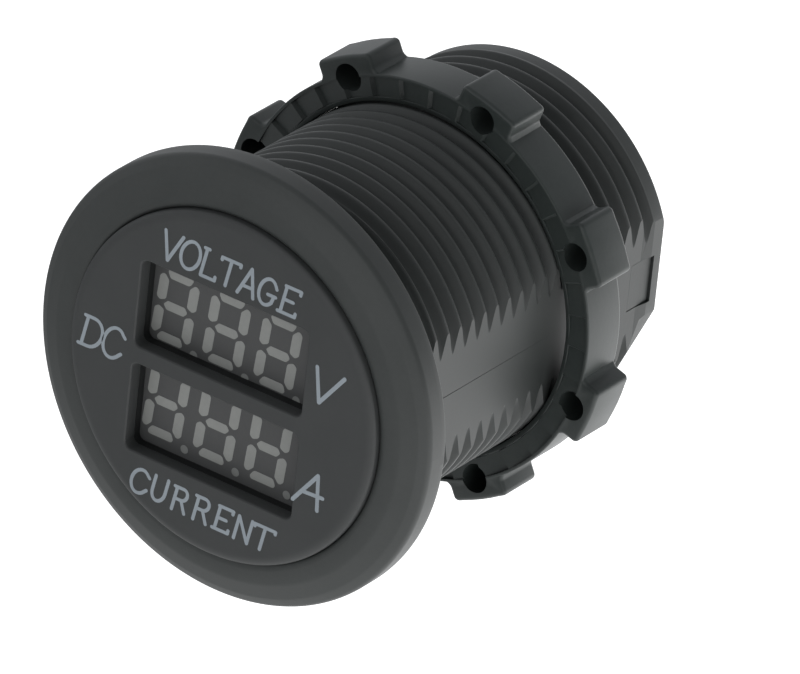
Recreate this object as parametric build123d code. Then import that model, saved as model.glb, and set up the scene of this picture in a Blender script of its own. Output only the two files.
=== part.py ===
"""Panel-mount DC volt and ammeter head: round bezel, threaded barrel, ring nut, two LED readouts.

Frame: millimetres, +Z up, +X to the right of someone reading the face, +Y backwards along the
barrel.  The origin is on the barrel's axis, on the rear face of the flange.
"""

from build123d import *
import math
import os

os.makedirs("parts", exist_ok=True)

# ---- driving dimensions (mm, degrees) ----
FLANGE_R = 18.6
FLANGE_REAR_Y = 0.0
RIM_FRONT_Y = -1.7
RING_SHOULDER_R = 17.6
RING_SHOULDER_Y = -2.45
RING_STEP_Y = -3.2
RECESS_R = 14.65
RECESS_Y = -2.65
HOLDER_BORE_R = 13.4
HOLDER_SEAT_Y = -0.2
BARREL_BORE_R = 12.1
BARREL_END_Y = 35.5

NECK_R = 13.9
NECK_END_Y = 4.85
CREST_R = 14.5
ROOT_R = 13.75
PITCH = 1.6
FIRST_CREST_Y = 5.45
CREST_COUNT = 18
CREST_HALF = 0.15
FLANK = 0.42
END_CHAMFER = 0.3
FLAT_X = 13.2
REAR_FLAT_X = 13.4
REAR_FLAT_Y = (33.0, 34.2)
BEVEL_TURN = 23.5
BEVEL_AT_R = 13.48

PLATE_R = 14.55
PLATE_FRONT_Y = -3.85
PLATE_EDGE_R = 0.6
WINDOW_W = 16.0
WINDOW_X = -0.4
WINDOW_CORNER_R = 0.6
UPPER_WINDOW_Z = (0.55, 8.1)
LOWER_WINDOW_Z = (-8.5, -0.95)

HOLDER_R = 13.35
HOLDER_FRONT_Y = -2.6
HOLDER_REAR_Y = -0.22

MODULE_W = 15.9
MODULE_H = 7.8
MODULE_X = -0.5
MODULE_FRONT_Y = -1.9
MODULE_REAR_Y = 4.1
UPPER_MODULE_Z = 3.65
LOWER_MODULE_Z = -4.7
DIGIT_PITCH = 4.93
DIGIT_X0 = -6.2
DIGIT_HALF_W = 1.45
DIGIT_HALF_H = 2.78
DIGIT_DZ = 0.2
DIGIT_SLANT = 5.0
STROKE_V = 0.9
STROKE_H = 0.8
DOT_R = 0.35
DOT_DX = 2.1
DOT_DZ = -3.05
SEGMENT_DEPTH = 0.4

BOARD_R = 11.9
BOARD_T = 1.2
BOARD_SCREW_X = 10.3
BOARD_SCREW_R = 0.95
PIN_R = 0.25
PIN_HOLE_R = 0.4
PIN_PITCH = 2.54
PINS_PER_ROW = 6
PIN_ROW_DZ = 3.05
LINK_Z = 9.6
LINK_PITCH = 2.54
LINK_COUNT = 3
LINK_PIN = 0.64

POWER_BOARD_R = 11.6
POWER_BOARD_Y = 16.2
POWER_BOARD_T = 1.6
SHUNT_W = 3.0
SHUNT_T = 1.2
SHUNT_SPAN = 9.0
SHUNT_FRONT_Y = 10.8
SHUNT_Z = 6.2

CAP_R = 12.02
CAP_INNER_Y = 31.9
CAP_OUTER_Y = 35.3
COLLAR_WALL = 1.0
COLLAR_H = 0.9
CAP_SKIRT_R = 10.9
CAP_SKIRT_Y = 27.5
LATCH_Y = (31.8, 34.6)
LATCH_Z = (-1.9, 2.2)
LATCH_GAP = 0.06

SPADE_W = 6.3
SPADE_T = 0.8
SPADE_END_Y = 43.0
SPADE_OFFSET = 6.4
SPADE_SLOT_GAP = 0.04
SPADE_EAR_W = 7.6
SPADE_EAR_Y = (30.7, 31.9)
SPADE_TANG_W = 3.0
SPADE_HOLE_R = 0.9
SPADE_HOLE_Y = 39.9

NUT_FRONT_Y = 21.0
NUT_REAR_Y = 25.4
NUT_R = 16.95
NUT_BORE_R = 15.06
NUT_THREAD_R = 15.0
NUT_THREAD_BORE_R = 14.58
NUT_THREAD_Y = (21.2, 25.2)
LUG_COUNT = 8
LUG_PHASE = 27.8
LUG_W = 5.35
LUG_R = 18.5
LUG_REAR_Y = 25.25
LUG_EDGE_R = 0.4
LUG_HOLE_R = 1.18
LUG_HOLE_AT_R = 16.7
LUG_HOLE_END_Y = 24.7
TOOTH_COUNT = 36
TOOTH_OUTER_R = 16.6
TOOTH_W = 2.6
TOOTH_DEPTH = 0.34


# ---- helpers ----
def turned(points):
    """Solid of revolution about the barrel's axis from (radius, y) points."""
    face = make_face(Polyline(*[(r, y, 0) for r, y in points], close=True))
    return revolve(face, axis=Axis.Y)


def tube(outer, inner, y0, y1):
    """Round tube about the barrel's axis."""
    return turned([(inner, y0), (outer, y0), (outer, y1), (inner, y1)])


def disc(radius, y0, y1):
    """Round disc about the barrel's axis."""
    return rod(radius, 0, 0, y0, y1)


def rod(radius, x, z, y0, y1):
    """Round rod parallel to the barrel's axis."""
    body = Cylinder(radius, y1 - y0, align=(Align.CENTER, Align.CENTER, Align.MIN))
    return Pos(x, y0, z) * Rot(-90, 0, 0) * body


def cone(r0, r1, x, z, y0, y1):
    """Cone parallel to the barrel's axis, r0 at y0 and r1 at y1."""
    body = Cone(r0, r1, y1 - y0, align=(Align.CENTER, Align.CENTER, Align.MIN))
    return Pos(x, y0, z) * Rot(-90, 0, 0) * body


def block(x0, x1, y0, y1, z0, z1):
    """Box from its extents."""
    return Pos((x0 + x1) / 2, (y0 + y1) / 2, (z0 + z1) / 2) * Box(x1 - x0, y1 - y0, z1 - z0)


def prism(points, y0, y1):
    """Straight prism along Y from (x, z) points."""
    face = make_face(Polyline(*[(x, y0, z) for x, z in points], close=True))
    return extrude(face, amount=y1 - y0, dir=(0, 1, 0))


def window(z_range, y0, y1, grow=0.0):
    """Rounded rectangle of a display window, as a solid to cut with."""
    height = z_range[1] - z_range[0] + 2 * grow
    middle = (z_range[0] + z_range[1]) / 2
    sketch = RectangleRounded(WINDOW_W + 2 * grow, height, WINDOW_CORNER_R + grow)
    solid = extrude(sketch, amount=y1 - y0)
    return Pos(WINDOW_X, y0, middle) * Rot(-90, 0, 0) * solid


def grouped(solids):
    """Several like solids kept apart under one name."""
    return Compound(children=list(solids))


def joined(solids):
    """Several touching solids fused into one."""
    result = solids[0]
    for item in solids[1:]:
        result = result + item
    return result


def around(angle, solid):
    """Turn a solid drawn on +X round the barrel's axis, towards +Z."""
    return Rot(0, -angle, 0) * solid


# ---- housing: bezel and barrel in one moulding ----
def barrel_outline():
    points = [(NECK_R, FLANGE_REAR_Y), (NECK_R, NECK_END_Y)]
    for index in range(CREST_COUNT):
        y = FIRST_CREST_Y + index * PITCH
        if index:
            points.append((ROOT_R, y - CREST_HALF - FLANK))
        points.append((CREST_R, y - CREST_HALF))
        points.append((CREST_R, y + CREST_HALF))
        points.append((ROOT_R, y + CREST_HALF + FLANK))
    last = FIRST_CREST_Y + CREST_COUNT * PITCH
    points.append((ROOT_R, last - CREST_HALF - FLANK))
    points.append((CREST_R, last - CREST_HALF))
    points.append((CREST_R, BARREL_END_Y - END_CHAMFER))
    points.append((CREST_R - END_CHAMFER, BARREL_END_Y))
    return points


def side_flat(side):
    """Solid that cuts one side of the barrel flat, a little higher near its rear end."""
    y0, y1 = REAR_FLAT_Y
    points = [(FLAT_X, FLANGE_REAR_Y), (FLAT_X, y0), (REAR_FLAT_X, y1), (REAR_FLAT_X, 37), (20, 37)]
    points.append((20, FLANGE_REAR_Y))
    face = make_face(Polyline(*[(side * px, py, -9) for px, py in points], close=True))
    return extrude(face, amount=18, dir=(0, 0, 1))


def rear_bevel():
    """Wedge that bevels one lower corner of the barrel's rear end, drawn on +X."""
    points = [(BEVEL_AT_R, 37, -9), (BEVEL_AT_R, 33.6, -9), (17.5, 29, -9), (20, 37, -9)]
    return extrude(make_face(Polyline(*points, close=True)), amount=18, dir=(0, 0, 1))


def housing():
    outline = [(HOLDER_BORE_R, HOLDER_SEAT_Y), (HOLDER_BORE_R, RECESS_Y), (RECESS_R, RECESS_Y)]
    outline += [(RECESS_R, RING_STEP_Y), (RING_SHOULDER_R, RING_SHOULDER_Y)]
    outline += [(18.1, -2.28), (18.42, -2.05), (FLANGE_R, RIM_FRONT_Y)]
    outline += [(FLANGE_R, FLANGE_REAR_Y)]
    outline += barrel_outline()
    outline += [(BARREL_BORE_R, BARREL_END_Y), (BARREL_BORE_R, HOLDER_SEAT_Y)]
    body = turned(outline)
    for side in (-1, 1):
        body -= side_flat(side)
        body -= around(-BEVEL_TURN if side > 0 else 180 + BEVEL_TURN, rear_bevel())
        w0, w1 = sorted((side * 11, side * 14))
        body -= block(w0, w1, LATCH_Y[0], LATCH_Y[1], LATCH_Z[0], LATCH_Z[1])
        b0, b1 = sorted((side * 8.8, side * 12.4))
        boss = block(b0, b1, HOLDER_SEAT_Y, MODULE_REAR_Y, -1.8, 1.8)
        boss -= rod(BOARD_SCREW_R, side * BOARD_SCREW_X, 0, 0.4, MODULE_REAR_Y + 1)
        body += boss
    return body


# ---- front plate, raised a little above the bezel ring ----
def face_plate():
    plate = disc(PLATE_R, PLATE_FRONT_Y, RECESS_Y)
    plate = fillet(plate.edges().filter_by(GeomType.CIRCLE).group_by(Axis.Y)[0], PLATE_EDGE_R)
    for z_range in (UPPER_WINDOW_Z, LOWER_WINDOW_Z):
        plate -= window(z_range, PLATE_FRONT_Y - 1, RECESS_Y + 1)
    return plate


# ---- black holder that locates both readouts ----
def display_holder():
    body = disc(HOLDER_R, HOLDER_FRONT_Y, HOLDER_REAR_Y)
    for z_range in (UPPER_WINDOW_Z, LOWER_WINDOW_Z):
        body -= window(z_range, HOLDER_FRONT_Y - 1, MODULE_FRONT_Y - 0.02)
    for z in (UPPER_MODULE_Z, LOWER_MODULE_Z):
        w, h = MODULE_W / 2 + 0.03, MODULE_H / 2 + 0.03
        body -= block(MODULE_X - w, MODULE_X + w, MODULE_FRONT_Y - 0.02, 1, z - h, z + h)
    return body


# ---- seven-segment readouts ----
def slanted(points, x, z):
    lean = math.tan(math.radians(DIGIT_SLANT))
    return [(x + px + pz * lean, z + pz) for px, pz in points]


def segment_outlines(x, z):
    """Outlines of the seven segments of one digit centred on (x, z)."""
    w, h, v, s = DIGIT_HALF_W, DIGIT_HALF_H, STROKE_V / 2, STROKE_H / 2
    top = [(-w + 0.15, h + s), (w - 0.15, h + s), (w - 0.55, h - s), (-w + 0.55, h - s)]
    bottom = [(px, -pz) for px, pz in reversed(top)]
    middle = [(-w + 0.3, 0), (-w + 0.62, s), (w - 0.62, s), (w - 0.3, 0)]
    middle += [(w - 0.62, -s), (-w + 0.62, -s)]
    right = [(w - v, 0.55), (w - v, h - 0.75), (w + v * 0.2, h - 0.25), (w + v, h - 0.55)]
    right += [(w + v, 0.45), (w + v * 0.4, 0.2)]
    left = [(-px, pz) for px, pz in reversed(right)]
    lower_right = [(px, -pz) for px, pz in reversed(right)]
    lower_left = [(-px, -pz) for px, pz in right]
    shapes = (top, bottom, middle, right, left, lower_right, lower_left)
    return [slanted(points, x, z) for points in shapes]


def segment_solids(z, y0, y1):
    solids = []
    for digit in range(3):
        x = DIGIT_X0 + digit * DIGIT_PITCH
        for outline in segment_outlines(x, z + DIGIT_DZ):
            solids.append(prism(outline, y0, y1))
        solids.append(rod(DOT_R, x + DOT_DX, z + DOT_DZ, y0, y1))
    return solids


def display_module(z):
    w, h = MODULE_W / 2, MODULE_H / 2
    body = block(MODULE_X - w, MODULE_X + w, MODULE_FRONT_Y, MODULE_REAR_Y, z - h, z + h)
    body -= segment_solids(z, MODULE_FRONT_Y - 1, MODULE_FRONT_Y + SEGMENT_DEPTH)
    return body


def display_segments(z):
    return grouped(segment_solids(z, MODULE_FRONT_Y, MODULE_FRONT_Y + SEGMENT_DEPTH))


def pin_spots():
    spots = []
    for module_z in (UPPER_MODULE_Z, LOWER_MODULE_Z):
        for row in (-1, 1):
            for column in range(PINS_PER_ROW):
                x = MODULE_X + (column - (PINS_PER_ROW - 1) / 2) * PIN_PITCH
                spots.append((x, module_z + row * PIN_ROW_DZ))
    return spots


def display_pins():
    rear = MODULE_REAR_Y + BOARD_T
    pins = []
    for x, z in pin_spots():
        pin = rod(PIN_R, x, z, MODULE_REAR_Y, rear + 1.0)
        pins.append(pin + cone(0.62, 0.3, x, z, rear, rear + 0.7))
    return grouped(pins)


# ---- round display board behind the readouts ----
def link_xs():
    return [(column - (LINK_COUNT - 1) / 2) * LINK_PITCH for column in range(LINK_COUNT)]


def display_board():
    board = disc(BOARD_R, MODULE_REAR_Y, MODULE_REAR_Y + BOARD_T)
    holes = [rod(PIN_HOLE_R, x, z, MODULE_REAR_Y - 1, MODULE_REAR_Y + 3) for x, z in pin_spots()]
    for x in link_xs():
        holes.append(rod(0.5, x, LINK_Z, MODULE_REAR_Y - 1, MODULE_REAR_Y + 3))
    for side in (-1, 1):
        holes.append(rod(1.1, side * BOARD_SCREW_X, 0, MODULE_REAR_Y - 1, MODULE_REAR_Y + 3))
    return board - holes


def board_screws():
    screws = []
    rear = MODULE_REAR_Y + BOARD_T
    for side in (-1, 1):
        x = side * BOARD_SCREW_X
        screw = rod(BOARD_SCREW_R, x, 0, 0.6, rear)
        head = cone(1.5, 1.15, x, 0, rear, rear + 1.1)
        head -= block(x - 0.2, x + 0.2, rear + 0.5, rear + 2, -0.8, 0.8)
        head -= block(x - 0.8, x + 0.8, rear + 0.5, rear + 2, -0.2, 0.2)
        screws.append(screw + head)
    return grouped(screws)


def board_link_header():
    y0 = MODULE_REAR_Y + BOARD_T
    half = LINK_COUNT * LINK_PITCH / 2
    body = block(-half, half, y0, y0 + 2.5, LINK_Z - 1.27, LINK_Z + 1.27)
    for x in link_xs():
        s = LINK_PIN / 2
        body -= block(x - s, x + s, y0 - 1, y0 + 4, LINK_Z - s, LINK_Z + s)
    return body


def board_link_pins():
    pins = []
    s = LINK_PIN / 2
    rear = POWER_BOARD_Y + POWER_BOARD_T
    for x in link_xs():
        pin = block(x - s, x + s, MODULE_REAR_Y - 1.0, rear + 1.2, LINK_Z - s, LINK_Z + s)
        pin += cone(0.35, 0.8, x, LINK_Z, MODULE_REAR_Y - 0.7, MODULE_REAR_Y)
        pin += cone(0.8, 0.35, x, LINK_Z, rear, rear + 0.8)
        pins.append(pin)
    return grouped(pins)


def gull_wing(x_body, x_foot, z, y_board, height, width):
    """One lead from a chip's side down to its board, running along X."""
    step = 0.18
    side = 1 if x_foot > x_body else -1
    knee = x_body + side * 0.45
    parts = []
    for x0, x1, y0, y1 in (
        (x_body, knee, y_board + height, y_board + height + step),
        (knee - side * step, knee, y_board, y_board + height + step),
        (knee - side * step, x_foot, y_board, y_board + step),
    ):
        a, b = sorted((x0, x1))
        parts.append(block(a, b, y0, y1, z - width / 2, z + width / 2))
    return joined(parts)


CHIP_LEAD_ZS = [UPPER_MODULE_Z + (index - 2) * 0.75 for index in range(5)]


def controller_chip():
    y0 = MODULE_REAR_Y + BOARD_T
    body = block(-1.95, 1.95, y0 + 0.1, y0 + 1.5, UPPER_MODULE_Z - 1.95, UPPER_MODULE_Z + 1.95)
    body = chamfer(body.edges().filter_by(Axis.Y), 0.12)
    return body - rod(0.3, -1.4, UPPER_MODULE_Z + 1.4, y0 + 1.35, y0 + 2)


def controller_leads():
    y0 = MODULE_REAR_Y + BOARD_T
    leads = []
    for z in CHIP_LEAD_ZS:
        for side in (-1, 1):
            leads.append(gull_wing(side * 1.95, side * 3.0, z, y0, 0.6, 0.32))
    return grouped(leads)


def chip_resistors():
    y0 = MODULE_REAR_Y + BOARD_T
    blocks = []
    for index in range(6):
        x = (index - 2.5) * 2.3
        blocks.append(block(x - 0.62, x + 0.62, y0, y0 + 0.5, -5.7, -3.7))
    return grouped(blocks)


def chip_capacitors():
    y0 = MODULE_REAR_Y + BOARD_T
    blocks = []
    for x in (-5.6, 5.6):
        blocks.append(block(x - 0.65, x + 0.65, y0, y0 + 1.0, 2.65, 4.65))
    return grouped(blocks)


# ---- power board: regulator, filter capacitor, diode and the current-sensing strip ----
def spade_spots():
    """(name, x, z, rotation about Y) of the three spade blades."""
    return (
        ("supply", -SPADE_OFFSET, 0.0, 90),
        ("load", SPADE_OFFSET, 0.0, 90),
        ("ground", 0.0, -SPADE_OFFSET, 0),
    )


def shunt_leg_xs():
    half = SHUNT_SPAN / 2
    return (-half, half)


def power_board():
    rear = POWER_BOARD_Y + POWER_BOARD_T
    board = disc(POWER_BOARD_R, POWER_BOARD_Y, rear)
    for x in link_xs():
        board -= rod(0.5, x, LINK_Z, POWER_BOARD_Y - 1, rear + 1)
    for x in shunt_leg_xs():
        w, t = SHUNT_W / 2 + 0.05, SHUNT_T / 2 + 0.05
        board -= block(x - t, x + t, POWER_BOARD_Y - 1, rear + 1, SHUNT_Z - w, SHUNT_Z + w)
    for _, x, z, turn in spade_spots():
        slot = Box(SPADE_TANG_W + 0.1, 9, SPADE_T + 0.1)
        board -= Pos(x, POWER_BOARD_Y, z) * Rot(0, turn, 0) * slot
    for x in (-1.0, 1.0):
        board -= rod(0.45, x, -1.6, POWER_BOARD_Y - 1, rear + 1)
    return board


def shunt_bar():
    half, t, w = SHUNT_SPAN / 2, SHUNT_T / 2, SHUNT_W / 2
    rear = POWER_BOARD_Y + POWER_BOARD_T
    outer = block(-half - t, half + t, SHUNT_FRONT_Y, rear + 0.9, SHUNT_Z - w, SHUNT_Z + w)
    outer = fillet(outer.edges().filter_by(Axis.Z).group_by(Axis.Y)[0], 1.8)
    inner = block(-half + t, half - t, SHUNT_FRONT_Y + SHUNT_T, rear + 2, SHUNT_Z - 5, SHUNT_Z + 5)
    inner = fillet(inner.edges().filter_by(Axis.Z).group_by(Axis.Y)[0], 0.6)
    return outer - inner


def input_capacitor():
    body = rod(2.5, 0, -1.6, POWER_BOARD_Y - 6.0, POWER_BOARD_Y)
    body = fillet(body.edges().filter_by(GeomType.CIRCLE), 0.35)
    return body - tube(2.8, 2.3, POWER_BOARD_Y - 1.5, POWER_BOARD_Y - 1.1).moved(
        Location((0, 0, -1.6))
    )


def capacitor_leads():
    rear = POWER_BOARD_Y + POWER_BOARD_T
    leads = []
    for x in (-1.0, 1.0):
        lead = rod(0.3, x, -1.6, POWER_BOARD_Y, rear + 1.0)
        leads.append(lead + cone(0.8, 0.35, x, -1.6, rear, rear + 0.7))
    return grouped(leads)


def voltage_regulator():
    body = block(-8.3, -4.5, POWER_BOARD_Y - 1.7, POWER_BOARD_Y - 0.1, -7.9, -4.0)
    return chamfer(body.edges().filter_by(Axis.Y), 0.15)


def regulator_leads():
    y = POWER_BOARD_Y
    leads = []
    for z in (-7.2, -5.95, -4.7):
        lead = block(-4.5, -3.9, y - 0.9, y - 0.7, z - 0.3, z + 0.3)
        lead += block(-4.1, -3.9, y - 0.9, y, z - 0.3, z + 0.3)
        lead += block(-4.1, -3.3, y - 0.2, y, z - 0.3, z + 0.3)
        leads.append(lead)
    return grouped(leads)


def protection_diode():
    body = block(4.3, 8.6, POWER_BOARD_Y - 2.1, POWER_BOARD_Y - 0.15, -6.9, -4.3)
    return chamfer(body.edges().filter_by(Axis.Y), 0.2)


def diode_leads():
    y = POWER_BOARD_Y
    leads = []
    for side in (-1, 1):
        x0, x1 = sorted((6.45 + side * 2.15, 6.45 + side * 2.35))
        lead = block(x0, x1, y - 1.1, y, -6.3, -4.9)
        a, b = sorted((6.45 + side * 1.3, 6.45 + side * 2.35))
        lead += block(a, b, y - 0.15, y, -6.3, -4.9)
        leads.append(lead)
    return grouped(leads)


# ---- rear cap and the spade blades it carries ----
def spade(x, z, turn):
    """Flat blade, drawn about the barrel's axis and then moved to its place."""
    t, w, ear, tang = SPADE_T / 2, SPADE_W / 2, SPADE_EAR_W / 2, SPADE_TANG_W / 2
    rear = POWER_BOARD_Y + POWER_BOARD_T
    outline = [(-tang, POWER_BOARD_Y - 0.9), (tang, POWER_BOARD_Y - 0.9), (tang, rear)]
    outline += [(w, rear), (w, SPADE_EAR_Y[0]), (ear, SPADE_EAR_Y[0]), (ear, SPADE_EAR_Y[1])]
    outline += [(w, SPADE_EAR_Y[1]), (w, SPADE_END_Y - 1.2), (w - 1.2, SPADE_END_Y)]
    outline += [(-w + 1.2, SPADE_END_Y), (-w, SPADE_END_Y - 1.2), (-w, SPADE_EAR_Y[1])]
    outline += [(-ear, SPADE_EAR_Y[1]), (-ear, SPADE_EAR_Y[0]), (-w, SPADE_EAR_Y[0])]
    outline += [(-w, rear), (-tang, rear)]
    face = make_face(Polyline(*[(px, py, 0) for px, py in outline], close=True))
    blade = Pos(0, 0, -t) * extrude(face, amount=2 * t, dir=(0, 0, 1))
    blade -= Pos(0, SPADE_HOLE_Y, 0) * Cylinder(SPADE_HOLE_R, 4)
    return Pos(x, 0, z) * Rot(0, turn, 0) * blade


def terminal(name):
    for spot, x, z, turn in spade_spots():
        if spot == name:
            return spade(x, z, turn)


def rear_cap():
    body = disc(CAP_R, CAP_INNER_Y, CAP_OUTER_Y)
    body = chamfer(body.edges().filter_by(GeomType.CIRCLE).group_by(Axis.Y)[-1], 0.25)
    body += tube(CAP_R, CAP_SKIRT_R, CAP_SKIRT_Y, CAP_INNER_Y)
    gap = LATCH_GAP
    for side in (-1, 1):
        x0, x1 = sorted((side * 10.95, side * (FLAT_X - 0.03)))
        y0, y1 = LATCH_Y[0] + gap, LATCH_Y[1] - gap
        body += block(x0, x1, y0, y1, LATCH_Z[0] + gap, LATCH_Z[1] - gap)
        for z in (LATCH_Z[0] - 1.2, LATCH_Z[1] + 0.4):
            s0, s1 = sorted((side * 10, side * 13))
            body -= block(s0, s1, CAP_SKIRT_Y - 1, CAP_INNER_Y - 0.5, z, z + 0.8)
    for _, x, z, turn in spade_spots():
        collar = Box(SPADE_W + 2 * COLLAR_WALL, 2, SPADE_T + 2 * COLLAR_WALL)
        collar = fillet(collar.edges().filter_by(Axis.Y), 0.5)
        body += Pos(x, CAP_OUTER_Y + COLLAR_H - 1, z) * Rot(0, turn, 0) * collar
        g = SPADE_SLOT_GAP
        slot = Box(SPADE_W + 2 * g, 9, SPADE_T + 2 * g)
        body -= Pos(x, (CAP_INNER_Y + CAP_OUTER_Y) / 2, z) * Rot(0, turn, 0) * slot
    return body


# ---- ring nut ----
def lug_angles():
    return [LUG_PHASE + index * 360 / LUG_COUNT for index in range(LUG_COUNT)]


def tooth_space():
    """Wedge cut from the nut's front face, which leaves one ramp and its step."""
    half = TOOTH_W / 2
    points = [(-half, NUT_FRONT_Y - 1), (-half, NUT_FRONT_Y + 0.05)]
    points += [(half, NUT_FRONT_Y + TOOTH_DEPTH), (half, NUT_FRONT_Y - 1)]
    face = make_face(Polyline(*[(NUT_BORE_R - 2, py, pz) for pz, py in points], close=True))
    return extrude(face, amount=TOOTH_OUTER_R - NUT_BORE_R + 2, dir=(1, 0, 0))


def ring_nut():
    body = disc(NUT_R, NUT_FRONT_Y, NUT_REAR_Y)
    body = fillet(body.edges().filter_by(GeomType.CIRCLE), 0.3)
    for index in range(TOOTH_COUNT):
        body -= around(index * 360 / TOOTH_COUNT + 5, tooth_space())
    lug = block(NUT_R - 2.6, LUG_R, NUT_FRONT_Y, LUG_REAR_Y, -LUG_W / 2, LUG_W / 2)
    lug = fillet(lug.edges().group_by(Axis.X)[-1], LUG_EDGE_R)
    for angle in lug_angles():
        body += around(angle, lug)
    body -= disc(NUT_BORE_R, NUT_FRONT_Y - 1, NUT_REAR_Y + 1)
    hole = rod(LUG_HOLE_R, LUG_HOLE_AT_R, 0, NUT_FRONT_Y - 1, LUG_HOLE_END_Y)
    for angle in lug_angles():
        body -= around(angle, hole)
    return body


def nut_thread():
    return tube(NUT_THREAD_R, NUT_THREAD_BORE_R, NUT_THREAD_Y[0], NUT_THREAD_Y[1])


PARTS = {
    "housing": housing,
    "face_plate": face_plate,
    "display_holder": display_holder,
    "voltage_display": lambda: display_module(UPPER_MODULE_Z),
    "voltage_segments": lambda: display_segments(UPPER_MODULE_Z),
    "current_display": lambda: display_module(LOWER_MODULE_Z),
    "current_segments": lambda: display_segments(LOWER_MODULE_Z),
    "display_pins": display_pins,
    "display_board": display_board,
    "board_screws": board_screws,
    "board_link_header": board_link_header,
    "board_link_pins": board_link_pins,
    "controller_chip": controller_chip,
    "controller_leads": controller_leads,
    "chip_resistors": chip_resistors,
    "chip_capacitors": chip_capacitors,
    "power_board": power_board,
    "shunt_bar": shunt_bar,
    "input_capacitor": input_capacitor,
    "capacitor_leads": capacitor_leads,
    "voltage_regulator": voltage_regulator,
    "regulator_leads": regulator_leads,
    "protection_diode": protection_diode,
    "diode_leads": diode_leads,
    "rear_cap": rear_cap,
    "supply_terminal": lambda: terminal("supply"),
    "load_terminal": lambda: terminal("load"),
    "ground_terminal": lambda: terminal("ground"),
    "ring_nut": ring_nut,
    "nut_thread": nut_thread,
}

for name, make in PARTS.items():
    export_step(make(), "parts/" + name + ".step")
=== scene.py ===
"""Looks of the panel-mount DC volt and ammeter head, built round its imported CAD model."""

import math

import bmesh
import bpy
from mathutils import Matrix, Vector


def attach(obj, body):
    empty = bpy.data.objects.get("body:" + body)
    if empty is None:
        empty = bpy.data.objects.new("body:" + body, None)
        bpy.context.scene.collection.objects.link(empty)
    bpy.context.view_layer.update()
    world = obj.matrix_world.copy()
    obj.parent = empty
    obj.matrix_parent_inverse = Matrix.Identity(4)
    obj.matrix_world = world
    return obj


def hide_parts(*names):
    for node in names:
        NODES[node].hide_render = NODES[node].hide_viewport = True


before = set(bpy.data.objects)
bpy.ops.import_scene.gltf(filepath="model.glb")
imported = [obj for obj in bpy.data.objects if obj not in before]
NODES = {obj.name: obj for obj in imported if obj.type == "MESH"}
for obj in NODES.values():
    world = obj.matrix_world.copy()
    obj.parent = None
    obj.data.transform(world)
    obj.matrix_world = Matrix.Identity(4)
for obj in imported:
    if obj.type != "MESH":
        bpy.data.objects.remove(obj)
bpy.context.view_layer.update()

MM = 0.001
MERGE = 0.0004
COLUMNS = 288
SHARP = math.radians(34)

# ---- sizes in millimetres ----
# those that the CAD model has too agree with it within 0.1 mm, apart from the edges of the skins
FLANGE_R = 18.6
PLATE_R = 14.55
RECESS_R = 14.6
RECESS_Y = -2.65
PLATE_FRONT_Y = -3.85
PLATE_EDGE_W = 0.9
PLATE_EDGE_DROP = 0.42
LIP_Y = -3.0
LIP_W = 0.5
LIP_H = 0.2
HOLDER_BORE_R = 13.4
HOLDER_SEAT_Y = -0.2
BORE_R = 12.1
BARREL_END_Y = 35.5
NECK_R = 13.9
CREST_R = 14.5
ROOT_R = 13.75
BAND_R = 14.42
PITCH = 1.6
FIRST_CREST_Y = 5.45
FLAT_X = 13.2
REAR_FLAT_X = 13.4
BEVEL_TURN = 23.5
BEVEL_AT = 13.48
RAMP_Y = (33.0, 34.2)
LATCH_Y = (31.8, 34.6)
LATCH_Z = (-1.9, 2.2)
SEAM_Z = 0.25
SEAM_HALF_W = 0.18
SEAM_Y = (4.2, 27.0)
PAST_END_Y = 37
THREAD_Y0 = 4.75
THREAD_Y1 = 34.15

WINDOW_X = -0.4
WINDOW_W = 16.0
UPPER_WINDOW_Z = (0.55, 8.1)
LOWER_WINDOW_Z = (-8.5, -0.95)
MODULE_FRONT_Y = -1.9
UPPER_Z = 3.85
LOWER_Z = -4.5
MODULE_X = -0.5
UPPER_MODULE_Z = 3.65
LOWER_MODULE_Z = -4.7
DIGIT_PITCH = 4.93
DIGIT_X0 = -6.2

NUT_Y0 = 21.0
NUT_Y1 = 25.4
NUT_R = 16.95
NUT_BORE_R = 15.05
LUG_R = 18.5
LUG_HALF_W = 2.68
LUG_PHASE = 27.8
LUG_HOLE_R = 1.18
LUG_HOLE_AT = 16.7
TOOTH_COUNT = 36
TOOTH_R = 16.68
TOOTH_INNER_R = 14.0
TOOTH_DEPTH = 0.34
LUG_COUNT = 8
LUG_ROOT_R = 15.6
LUG_EDGE = 0.32
LUG_HOLE_TURN = 0.13
NUT_THREAD_R = (14.6, 15.03)
NUT_THREAD_Y = (21.12, 25.28)
NUT_THREAD_LEAD = 0.13


# ---- mesh helpers ----
def new_object(name, verts, faces, merge=MERGE):
    """An object from points in millimetres."""
    mesh = bpy.data.meshes.new(name)
    mesh.from_pydata([tuple(v) for v in verts], [], faces)
    bm = bmesh.new()
    bm.from_mesh(mesh)
    bmesh.ops.remove_doubles(bm, verts=bm.verts, dist=merge)
    bmesh.ops.dissolve_degenerate(bm, edges=bm.edges, dist=merge)
    bmesh.ops.recalc_face_normals(bm, faces=bm.faces)
    bm.to_mesh(mesh)
    bm.free()
    obj = bpy.data.objects.new(name, mesh)
    bpy.context.scene.collection.objects.link(obj)
    return obj


def settle(obj, scale=MM, sharp=SHARP, flats=()):
    """Applies the modifiers, brings the mesh to metres and marks its sharp edges."""
    depsgraph = bpy.context.evaluated_depsgraph_get()
    mesh = bpy.data.meshes.new_from_object(obj.evaluated_get(depsgraph))
    obj.modifiers.clear()
    obj.data = mesh
    mesh.transform(Matrix.Scale(scale, 4))
    mesh.polygons.foreach_set("use_smooth", [True] * len(mesh.polygons))
    mesh.set_sharp_from_angle(angle=sharp)
    mesh.update()
    if flats:
        crisp(mesh, flats)
    return obj


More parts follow.
